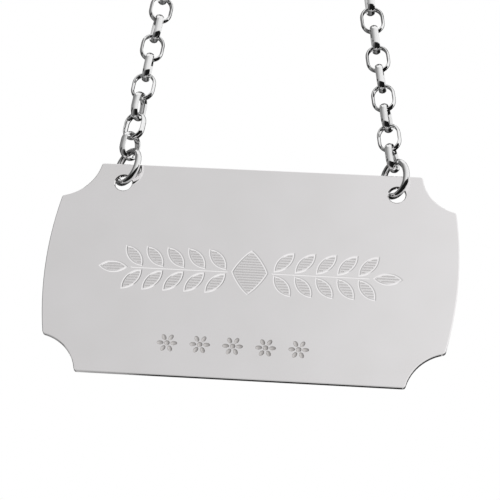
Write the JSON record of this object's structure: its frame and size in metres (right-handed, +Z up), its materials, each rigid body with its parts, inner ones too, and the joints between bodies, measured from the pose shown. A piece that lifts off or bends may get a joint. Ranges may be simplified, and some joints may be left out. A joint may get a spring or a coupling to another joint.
{
  "type": "wine label",
  "caption": "Oblong silver wine label with bowed ends and notched corners, hung by two jump rings from a loop of oval belcher chain that goes over a bottle neck.",
  "frame": {"origin": "the top of the loop, on the middle line of the top link, which is the point that lies over a peg", "axes": "+X to the right of a viewer who faces the label, +Y away from the viewer, +Z up; the label hangs down along -Z"},
  "size_m": [0.0521, 0.004, 0.0836],
  "materials": {
    "plate_silver": "polished silver sheet",
    "ring_silver": "polished silver wire",
    "chain_silver": "polished silver band"
  },
  "bodies": {
    "top_link": {"top_link": "chain_silver"},
    "row_19": {"left_link_19": "chain_silver", "right_link_19": "chain_silver"},
    "row_18": {"left_link_18": "chain_silver", "right_link_18": "chain_silver"},
    "row_17": {"left_link_17": "chain_silver", "right_link_17": "chain_silver"},
    "row_16": {"left_link_16": "chain_silver", "right_link_16": "chain_silver"},
    "row_15": {"left_link_15": "chain_silver", "right_link_15": "chain_silver"},
    "row_14": {"left_link_14": "chain_silver", "right_link_14": "chain_silver"},
    "row_13": {"left_link_13": "chain_silver", "right_link_13": "chain_silver"},
    "row_12": {"left_link_12": "chain_silver", "right_link_12": "chain_silver"},
    "row_11": {"left_link_11": "chain_silver", "right_link_11": "chain_silver"},
    "row_10": {"left_link_10": "chain_silver", "right_link_10": "chain_silver"},
    "row_09": {"left_link_09": "chain_silver", "right_link_09": "chain_silver"},
    "row_08": {"left_link_08": "chain_silver", "right_link_08": "chain_silver"},
    "row_07": {"left_link_07": "chain_silver", "right_link_07": "chain_silver"},
    "row_06": {"left_link_06": "chain_silver", "right_link_06": "chain_silver"},
    "row_05": {"left_link_05": "chain_silver", "right_link_05": "chain_silver"},
    "row_04": {"left_link_04": "chain_silver", "right_link_04": "chain_silver"},
    "row_03": {"left_link_03": "chain_silver", "right_link_03": "chain_silver"},
    "row_02": {"left_link_02": "chain_silver", "right_link_02": "chain_silver"},
    "row_01": {"left_link_01": "chain_silver", "right_link_01": "chain_silver"},
    "jump_rings": {"left_jump_ring": "ring_silver", "right_jump_ring": "ring_silver"},
    "label_plate": {"label_plate": "plate_silver"}
  },
  "joints": [
    {"name": "chain_fold_19", "type": "hinge", "parent": "top_link", "child": "row_19", "pos_m": [0.00111, 0, -0.00011], "axis": [0.9951, 0, -0.0985], "range_deg": [-8, 8]},
    {"name": "chain_fold_18", "type": "hinge", "parent": "row_19", "child": "row_18", "pos_m": [0.00105, 0, -0.0007], "axis": [-0.9951, 0, 0.0985], "range_deg": [-8, 8]},
    {"name": "chain_fold_17", "type": "hinge", "parent": "row_18", "child": "row_17", "pos_m": [0.00088, 0, -0.00247], "axis": [0.9951, 0, -0.0985], "range_deg": [-14, 14]},
    {"name": "chain_fold_16", "type": "hinge", "parent": "row_17", "child": "row_16", "pos_m": [0.00072, 0, -0.0041], "axis": [-0.9951, 0, 0.0985], "range_deg": [-10, 10]},
    {"name": "chain_fold_15", "type": "hinge", "parent": "row_16", "child": "row_15", "pos_m": [0.00041, 0, -0.00717], "axis": [0.9951, 0, -0.0985], "range_deg": [-20, 20]},
    {"name": "chain_fold_14", "type": "hinge", "parent": "row_15", "child": "row_14", "pos_m": [0.00016, 0, -0.00939], "axis": [-0.9951, 0, 0.0989], "range_deg": [-14, 14]},
    {"name": "chain_fold_13", "type": "hinge", "parent": "row_14", "child": "row_13", "pos_m": [0.00016, 0, -0.01294], "axis": [0.9955, 0, -0.0947], "range_deg": [-20, 20]},
    {"name": "chain_fold_12", "type": "hinge", "parent": "row_13", "child": "row_12", "pos_m": [0.00016, 0, -0.01521], "axis": [-0.9957, 0, 0.0921], "range_deg": [-20, 20]},
    {"name": "chain_fold_11", "type": "hinge", "parent": "row_12", "child": "row_11", "pos_m": [0.00016, 0, -0.01876], "axis": [0.9961, 0, -0.0884], "range_deg": [-20, 20]},
    {"name": "chain_fold_10", "type": "hinge", "parent": "row_11", "child": "row_10", "pos_m": [0.00016, 0, -0.02103], "axis": [-0.9963, 0, 0.0861], "range_deg": [-20, 20]},
    {"name": "chain_fold_09", "type": "hinge", "parent": "row_10", "child": "row_09", "pos_m": [0.00016, 0, -0.02458], "axis": [0.9966, 0, -0.0829], "range_deg": [-20, 20]},
    {"name": "chain_fold_08", "type": "hinge", "parent": "row_09", "child": "row_08", "pos_m": [0.00016, 0, -0.02685], "axis": [-0.9967, 0, 0.0809], "range_deg": [-20, 20]},
    {"name": "chain_fold_07", "type": "hinge", "parent": "row_08", "child": "row_07", "pos_m": [0.00016, 0, -0.0304], "axis": [0.997, 0, -0.078], "range_deg": [-20, 20]},
    {"name": "chain_fold_06", "type": "hinge", "parent": "row_07", "child": "row_06", "pos_m": [0.00016, 0, -0.03267], "axis": [-0.9971, 0, 0.0763], "range_deg": [-20, 20]},
    {"name": "chain_fold_05", "type": "hinge", "parent": "row_06", "child": "row_05", "pos_m": [0.00016, 0, -0.03622], "axis": [0.9973, 0, -0.0737], "range_deg": [-20, 20]},
    {"name": "chain_fold_04", "type": "hinge", "parent": "row_05", "child": "row_04", "pos_m": [0.00016, 0, -0.0385], "axis": [-0.9974, 0, 0.0721], "range_deg": [-20, 20]},
    {"name": "chain_fold_03", "type": "hinge", "parent": "row_04", "child": "row_03", "pos_m": [0.00016, 0, -0.04204], "axis": [0.9976, 0, -0.0698], "range_deg": [-20, 20]},
    {"name": "chain_fold_02", "type": "hinge", "parent": "row_03", "child": "row_02", "pos_m": [0.00016, 0, -0.04432], "axis": [-0.9977, 0, 0.0684], "range_deg": [-14, 14]},
    {"name": "chain_fold_01", "type": "hinge", "parent": "row_02", "child": "row_01", "pos_m": [0.00016, 0, -0.04786], "axis": [0.9978, 0, -0.0664], "range_deg": [-20, 20]},
    {"name": "jump_ring_swing", "type": "hinge", "parent": "row_01", "child": "jump_rings", "pos_m": [0.00028, 0, -0.04983], "axis": [-0.9979, 0, 0.0649], "range_deg": [-12, 12]},
    {"name": "plate_swing", "type": "hinge", "parent": "jump_rings", "child": "label_plate", "pos_m": [0.00028, 0, -0.05424], "axis": [0.998, 0, -0.0625], "range_deg": [-8, 8]}
  ]
}
